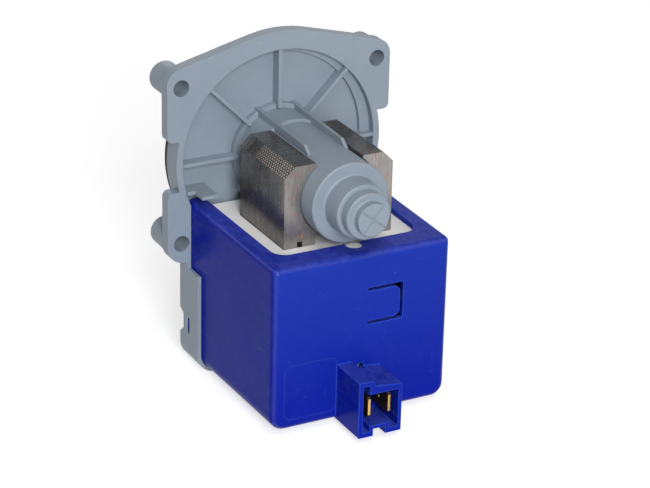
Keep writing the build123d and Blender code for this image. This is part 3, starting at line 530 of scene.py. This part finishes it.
# Geometry Nodes
class Recipe:
    """A Geometry Nodes tree with named inputs, run once on an empty mesh."""

    def __init__(self, name, **inputs):
        self.tree = bpy.data.node_groups.new(name, "GeometryNodeTree")
        self.values = inputs
        sockets = self.tree.interface
        sockets.new_socket("Geometry", in_out="OUTPUT", socket_type="NodeSocketGeometry")
        kinds = {
            int: "NodeSocketInt",
            float: "NodeSocketFloat",
            bpy.types.Object: "NodeSocketObject",
        }
        for label, value in inputs.items():
            kind = next(socket for cls, socket in kinds.items() if isinstance(value, cls))
            sockets.new_socket(label, in_out="INPUT", socket_type=kind)
        self.inputs = self.tree.nodes.new("NodeGroupInput").outputs

    def node(self, kind, settings=None, inputs=None, output=0):
        """Adds a node of that kind and returns one of its output sockets."""
        made = self.tree.nodes.new(kind)
        for name, value in (settings or {}).items():
            setattr(made, name, value)
        for name, value in (inputs or {}).items():
            if isinstance(value, bpy.types.NodeSocket):
                self.tree.links.new(value, made.inputs[name])
            else:
                made.inputs[name].default_value = value
        return made.outputs[output]

    def calculate(self, operation, *numbers):
        """One step of arithmetic, under the Math node's own name for it."""
        return self.node("ShaderNodeMath", {"operation": operation}, dict(enumerate(numbers)))

    def vector(self, **parts):
        """A vector of the given x, y and z, each 0 where it isn't given."""
        inputs = {name.upper(): value for name, value in parts.items()}
        return self.node("ShaderNodeCombineXYZ", inputs=inputs)

    def chance(self, least, most):
        """A random number of its own for each point, from the recipe's seed."""
        # The node's limits for numbers are its inputs 2 and 3, and its number is output 1.
        return self.node(
            "FunctionNodeRandomValue",
            {"data_type": "FLOAT"},
            {2: least, 3: most, "Seed": self.inputs["Seed"]},
            output=1,
        )

    def row(self, count, start, step):
        """That many points in a line."""
        return self.node(
            "GeometryNodeMeshLine",
            inputs={"Count": count, "Start Location": start, "Offset": step},
        )

    def make(self, name, instances, choices):
        """Realizes the instances, sets each (material, selection) choice and returns the object."""
        geometry = self.node("GeometryNodeRealizeInstances", inputs={"Geometry": instances})
        for material, selection in choices:
            inputs = {"Geometry": geometry, "Material": material}
            if selection is not None:
                inputs["Selection"] = selection
            geometry = self.node("GeometryNodeSetMaterial", inputs=inputs)
        self.tree.links.new(geometry, self.tree.nodes.new("NodeGroupOutput").inputs[0])
        maker = bpy.data.objects.new(name + "_maker", bpy.data.meshes.new(name + "_maker"))
        bpy.context.scene.collection.objects.link(maker)
        modifier = maker.modifiers.new(name, "NODES")
        modifier.node_group = self.tree
        for socket in self.tree.interface.items_tree:
            if socket.in_out == "INPUT":
                modifier[socket.identifier] = self.values[socket.name]
        graph = bpy.context.evaluated_depsgraph_get()
        mesh = bpy.data.meshes.new_from_object(maker.evaluated_get(graph), depsgraph=graph)
        bpy.data.objects.remove(maker)
        mesh.name = name
        made = bpy.data.objects.new(name, mesh)
        bpy.context.scene.collection.objects.link(made)
        return made


def facing_along(recipe, axis, level):
    """Selects the faces that face along that axis, either way."""
    normal = recipe.node("GeometryNodeInputNormal")
    part = recipe.node("ShaderNodeSeparateXYZ", inputs={0: normal}, output=axis)
    size = recipe.calculate("ABSOLUTE", part)
    return recipe.node("FunctionNodeCompare", {"operation": "GREATER_THAN"}, {0: size, 1: level})


# Stator core: a stack of punched sheets
def sheet_outline():
    """One sheet's outline, as (x, z) in millimetres, anticlockwise from its lower right corner."""
    half_width, top, chamfer = 17.15, 10.65, 3.2
    inner_x, bore, yoke_low, yoke_high = 7.4, 12.3, -58.4, -48.7
    arc_steps = 24
    arc_start = math.asin(math.sqrt(bore**2 - inner_x**2) / bore)
    arc = [arc_start - 2 * arc_start * step / arc_steps for step in range(arc_steps + 1)]
    right = [
        (half_width, yoke_low),
        (half_width, top - chamfer),
        (half_width - chamfer, top),
        (inner_x, top),
        *[(bore * math.cos(turn), bore * math.sin(turn)) for turn in arc],
        (inner_x, yoke_high),
    ]
    return right + [(-x, z) for x, z in reversed(right)]


def sheet(name, thickness, slot=None):
    """One sheet with its front at y = 0, and a square slot through it if slot gives the corners."""
    mesh = bmesh.new()
    edges_made = []
    for ring in [sheet_outline()] + ([slot] if slot else []):
        points = [mesh.verts.new((x * MM, 0, z * MM)) for x, z in ring]
        edges_made += [mesh.edges.new(pair) for pair in zip(points, points[1:] + points[:1])]
    flat = bmesh.ops.triangle_fill(mesh, edges=edges_made, use_beauty=True)
    faces = [item for item in flat["geom"] if isinstance(item, bmesh.types.BMFace)]
    raised = bmesh.ops.extrude_face_region(mesh, geom=faces)
    points = [item for item in raised["geom"] if isinstance(item, bmesh.types.BMVert)]
    bmesh.ops.translate(mesh, verts=points, vec=(0, thickness, 0))
    bmesh.ops.recalc_face_normals(mesh, faces=mesh.faces)
    data = bpy.data.meshes.new(name)
    mesh.to_mesh(data)
    mesh.free()
    return bpy.data.objects.new(name, data)


def stack_of_sheets():
    """The core as 56 sheets, each a hair lower than the solid, the front eight with the slot."""
    low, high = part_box("stator_core")
    count = 56
    pitch = (high.y - low.y) / count
    gap = 0.06 * MM
    slot_left, slot_right, slot_low, slot_high = -13.0, -11.4, -13.9, -12.3
    slot = [
        (slot_left, slot_low),
        (slot_right, slot_low),
        (slot_right, slot_high),
        (slot_left, slot_high),
    ]
    recipe = Recipe(
        "sheet_stack",
        Sheets=count,
        Slotted_Sheets=8,
        Pitch=pitch,
        Front=low.y,
        Play=0.035 * MM,
        Seed=7,
        Slotted=sheet("slotted_sheet", pitch - gap, slot),
        Plain=sheet("plain_sheet", pitch - gap),
    )
    values = recipe.inputs
    start = recipe.vector(y=values["Front"])
    step = recipe.vector(y=values["Pitch"])
    row = recipe.row(values["Sheets"], start, step)
    least = recipe.calculate("MULTIPLY", values["Play"], -1.0)
    lowered = recipe.vector(z=recipe.chance(least, 0.0))
    row = recipe.node("GeometryNodeSetPosition", inputs={"Geometry": row, "Offset": lowered})
    # The Compare node's whole numbers are its inputs 2 and 3.
    is_front = recipe.node(
        "FunctionNodeCompare",
        {"data_type": "INT", "operation": "LESS_THAN"},
        {2: recipe.node("GeometryNodeInputIndex"), 3: values["Slotted_Sheets"]},
    )
    is_rear = recipe.node("FunctionNodeBooleanMath", {"operation": "NOT"}, {0: is_front})
    stack = recipe.tree.nodes.new("GeometryNodeJoinGeometry")
    for label, selection in (("Slotted", is_front), ("Plain", is_rear)):
        punched = recipe.node(
            "GeometryNodeObjectInfo",
            inputs={"Object": values[label]},
            output="Geometry",
        )
        placed = recipe.node(
            "GeometryNodeInstanceOnPoints",
            inputs={"Points": row, "Instance": punched, "Selection": selection},
        )
        recipe.tree.links.new(placed, stack.inputs[0])
    made = recipe.make(
        "core_sheets",
        stack.outputs[0],
        [(edges, None), (sheets, facing_along(recipe, Y, level=0.7))],
    )
    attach(made, "housing")
    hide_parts("stator_core")


stack_of_sheets()


# Coils: one visible layer of turns on each
def wound_wire(side):
    """One coil's outer layer: rounded turns one above the other, some a little tighter."""
    node_name = "winding_" + side
    low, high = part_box(node_name)
    wire = 0.36 * MM
    recipe = Recipe(
        "turns_" + side,
        Turns=int((high.z - low.z) / wire),
        Wire=wire,
        Width=high.x - low.x - wire,
        Depth=high.y - low.y - wire,
        Corner=4.6 * MM,
        Start=low.z + wire / 2,
        Play=0.05 * MM,
        Seed=11,
    )
    values = recipe.inputs
    path = recipe.node(
        "GeometryNodeCurvePrimitiveQuadrilateral",
        inputs={"Width": values["Width"], "Height": values["Depth"]},
    )
    path = recipe.node(
        "GeometryNodeFilletCurve",
        {"mode": "POLY"},
        {"Curve": path, "Count": 6, "Radius": values["Corner"]},
    )
    half_wire = recipe.calculate("MULTIPLY", values["Wire"], 0.5)
    section = recipe.node(
        "GeometryNodeCurvePrimitiveCircle",
        inputs={"Resolution": 6, "Radius": half_wire},
    )
    turn = recipe.node("GeometryNodeCurveToMesh", inputs={"Curve": path, "Profile Curve": section})
    turn = recipe.node("GeometryNodeSetShadeSmooth", inputs={"Geometry": turn})
    start = recipe.node(
        "ShaderNodeVectorMath",
        {"operation": "ADD"},
        {0: recipe.vector(z=values["Start"]), 1: ((low.x + high.x) / 2, (low.y + high.y) / 2, 0)},
    )
    column = recipe.row(values["Turns"], start, recipe.vector(z=values["Wire"]))
    # A turn shrinks by its play at this distance from the coil's axis.
    reach = 10 * MM
    shrink = recipe.calculate("DIVIDE", values["Play"], reach)
    sizes = recipe.chance(recipe.calculate("SUBTRACT", 1.0, shrink), 1.0)
    scale = recipe.vector(x=sizes, y=sizes, z=1.0)
    turns = recipe.node(
        "GeometryNodeInstanceOnPoints",
        inputs={"Points": column, "Instance": turn, "Scale": scale},
    )
    made = recipe.make("coil_turns_" + side, turns, [(copper, None)])
    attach(made, "housing")
    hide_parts(node_name)


wound_wire("left")
wound_wire("right")


# Camera
def towards(azimuth, elevation):
    """The way from the pump at that azimuth (0 at the motor end) and elevation, in degrees."""
    turn, rise = math.radians(azimuth), math.radians(elevation)
    level = math.cos(rise)
    return Vector((math.sin(turn) * level, -math.cos(turn) * level, math.sin(rise)))


def set_camera():
    """The camera where the photograph was taken."""
    azimuth, elevation, roll = -28.36, 23.80, math.radians(1.36)
    target = Vector((-7.95, -43.96, -10.89)) * MM
    distance = 680.6 * MM
    back = towards(azimuth, elevation)
    right = Vector((math.cos(math.radians(azimuth)), math.sin(math.radians(azimuth)), 0))
    up = back.cross(right)
    right, up = (
        math.cos(roll) * right + math.sin(roll) * up,
        -math.sin(roll) * right + math.cos(roll) * up,
    )
    camera = bpy.data.objects.new("camera", bpy.data.cameras.new("camera"))
    camera.data.sensor_width = 36.0
    camera.data.lens = 134.9
    camera.data.clip_start = 0.05
    camera.data.clip_end = 50.0
    turned_to_view = Matrix((right, up, back)).transposed().to_4x4()
    camera.matrix_world = Matrix.Translation(target + back * distance) @ turned_to_view
    bpy.context.scene.collection.objects.link(camera)
    bpy.context.scene.camera = camera


# Floor and light
def seen_or_mirrored(tree):
    """1 for what the camera sees directly, mirrored or through glass, 0 for light on its way."""
    path = tree.nodes.new("ShaderNodeLightPath")
    total = path.outputs["Is Camera Ray"]
    for ray in ("Is Glossy Ray", "Is Transmission Ray"):
        most = tree.nodes.new("ShaderNodeMath")
        most.operation = "MAXIMUM"
        tree.links.new(total, most.inputs[0])
        tree.links.new(path.outputs[ray], most.inputs[1])
        total = most.outputs[0]
    return total


def set_floor():
    """A pale round floor just below the pump, which looks white and keeps the shadow."""
    radius, corners, gap = 4.0, 96, 0.05 * MM
    paleness, glow = 0.65, 0.62
    mesh = bmesh.new()
    bmesh.ops.create_circle(mesh, cap_ends=True, segments=corners, radius=radius)
    bmesh.ops.translate(mesh, verts=mesh.verts, vec=(0, 0, cad_box[0].z - gap))
    data = bpy.data.meshes.new("floor")
    mesh.to_mesh(data)
    mesh.free()
    floor = bpy.data.objects.new("floor", data)
    bpy.context.scene.collection.objects.link(floor)
    material = bpy.data.materials.new("white_floor")
    material.use_nodes = True
    tree = material.node_tree
    shader = tree.nodes["Principled BSDF"]
    shader.inputs["Base Color"].default_value = (paleness, paleness, paleness, 1.0)
    shader.inputs["Roughness"].default_value = 0.9
    shader.inputs["Emission Color"].default_value = (1.0, 1.0, 1.0, 1.0)
    brightness = tree.nodes.new("ShaderNodeMath")
    brightness.operation = "MULTIPLY"
    tree.links.new(seen_or_mirrored(tree), brightness.inputs[0])
    brightness.inputs[1].default_value = glow
    tree.links.new(brightness.outputs[0], shader.inputs["Emission Strength"])
    data.materials.append(material)


def set_world():
    """A white backdrop that itself gives little light."""
    light_given, brightness_seen = 0.09, 1.0
    world = bpy.data.worlds.new("studio")
    bpy.context.scene.world = world
    world.use_nodes = True
    tree = world.node_tree
    backdrop = tree.nodes["Background"]
    backdrop.inputs["Color"].default_value = (1.0, 1.0, 1.0, 1.0)
    strength = tree.nodes.new("ShaderNodeMapRange")
    tree.links.new(seen_or_mirrored(tree), strength.inputs["Value"])
    strength.inputs["To Min"].default_value = light_given
    strength.inputs["To Max"].default_value = brightness_seen
    tree.links.new(strength.outputs[0], backdrop.inputs["Strength"])


def lamp(name, azimuth, elevation, size, power):
    """A soft square lamp that shines on the pump from that direction."""
    distance = 1.6
    back = towards(azimuth, elevation)
    light = bpy.data.objects.new(name, bpy.data.lights.new(name, "AREA"))
    light.data.size = size
    light.data.energy = power
    light.location = back * distance
    light.rotation_mode = "QUATERNION"
    light.rotation_quaternion = (-back).to_track_quat("-Z", "Y")
    bpy.context.scene.collection.objects.link(light)


set_camera()
set_floor()
set_world()
bpy.context.scene.view_settings.view_transform = "Standard"
lamp("key", azimuth=-18, elevation=27, size=0.45, power=15.0)
lamp("front", azimuth=-14, elevation=10, size=0.45, power=6.6)
lamp("side", azimuth=-80, elevation=12, size=0.8, power=0.9)
lamp("top", azimuth=-10, elevation=64, size=0.7, power=6.4)
lamp("back", azimuth=165, elevation=5, size=0.3, power=8.5)
